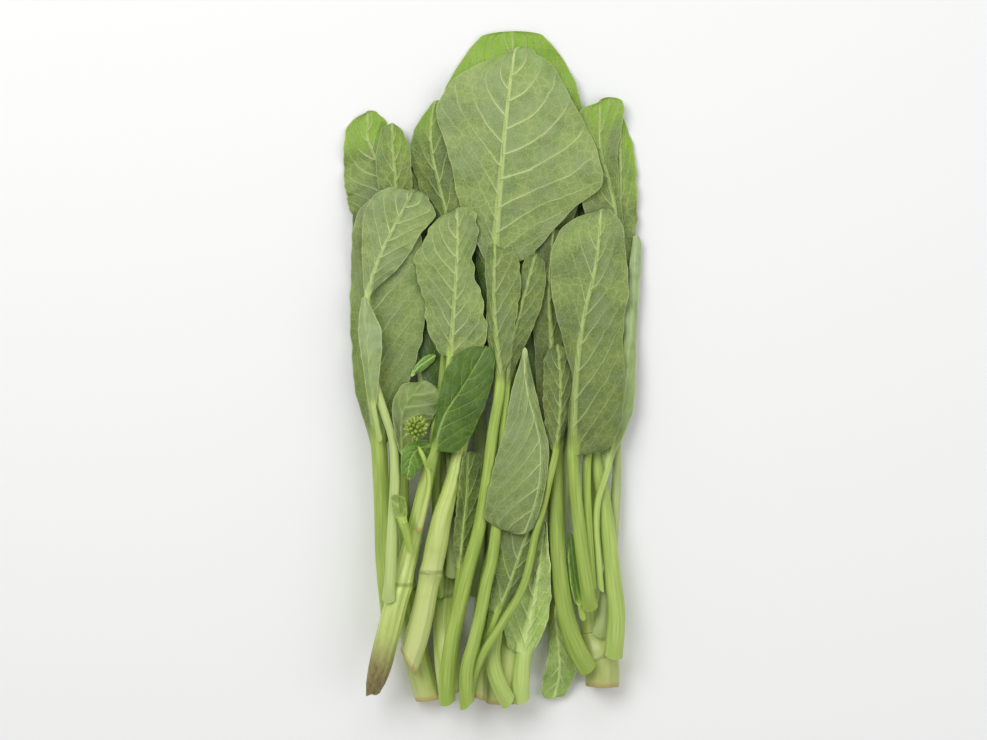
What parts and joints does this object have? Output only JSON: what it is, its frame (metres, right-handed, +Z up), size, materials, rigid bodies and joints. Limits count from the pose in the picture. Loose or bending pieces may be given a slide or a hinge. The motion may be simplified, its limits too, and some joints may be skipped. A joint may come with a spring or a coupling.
{
  "type": "choy sum bunch",
  "caption": "Loose bunch of choy sum lying flat: cut flowering stems with long-stalked, wavy oval leaves laid over one another, and one small head of flower buds.",
  "frame": {"origin": "middle of the bunch's footprint on the surface it lies on", "axes": "+Y from the cut ends towards the leaf tips, +X to the right of the picture, +Z up from the surface towards the viewer"},
  "size_m": [0.136, 0.305, 0.0341],
  "materials": {
    "leaf": "fresh satin leaf, pale raised veins on the underside, yellow-green where light comes through",
    "stem": "smooth, slightly waxy pale green, lengthwise ribs, yellow-white cut ends, one brown",
    "bud": "small matt yellow-green buds"
  },
  "bodies": {
    "root": {"stem_3_ribbed": "stem", "stem_4_middle_left": "stem", "stem_5_middle": "stem", "stem_6_right": "stem", "stem_7_right_inner": "stem", "stem_8_left_inner": "stem", "leaf_31_back_far_left": "leaf", "leaf_29_back_centre_left": "leaf", "leaf_27_back_right": "leaf", "leaf_30_back_left": "leaf", "leaf_32_back_centre": "leaf", "leaf_28_back_centre_right": "leaf", "leaf_33_back_short": "leaf", "leaf_34_back_right_short": "leaf", "leaf_02_top_rim": "leaf", "leaf_03_top_left_dark": "leaf", "leaf_04_far_left_top": "leaf", "leaf_05_left_top": "leaf", "leaf_06_left_long": "leaf", "leaf_20_low_hanging": "leaf", "leaf_12_right_inner": "leaf", "leaf_14_far_right_top": "leaf", "leaf_15_right_edge": "leaf", "leaf_13_right_top": "leaf", "leaf_21_low_right_small": "leaf", "leaf_19_low_pale": "leaf", "leaf_01_top_front": "leaf", "leaf_36_low_dark": "leaf", "leaf_18_centre_dark": "leaf", "leaf_11_right_front": "leaf", "stem_1_far_left": "stem", "stem_2_pale": "stem", "leaf_22_low_left_small": "leaf", "leaf_10_centre_slim": "leaf", "leaf_09_centre_narrow": "leaf", "leaf_08_centre_left": "leaf", "leaf_07_left_round": "leaf", "leaf_35_left_fold": "leaf", "leaf_25_tiny_upper": "leaf", "leaf_26_tiny_left": "leaf", "leaf_23_bud_upper": "leaf", "leaf_24_bud_lower": "leaf", "flower_stalk": "stem", "flower_bud_head": "bud", "leaf_16_bright_small": "leaf", "leaf_17_centre_folded": "leaf"}
  },
  "joints": []
}
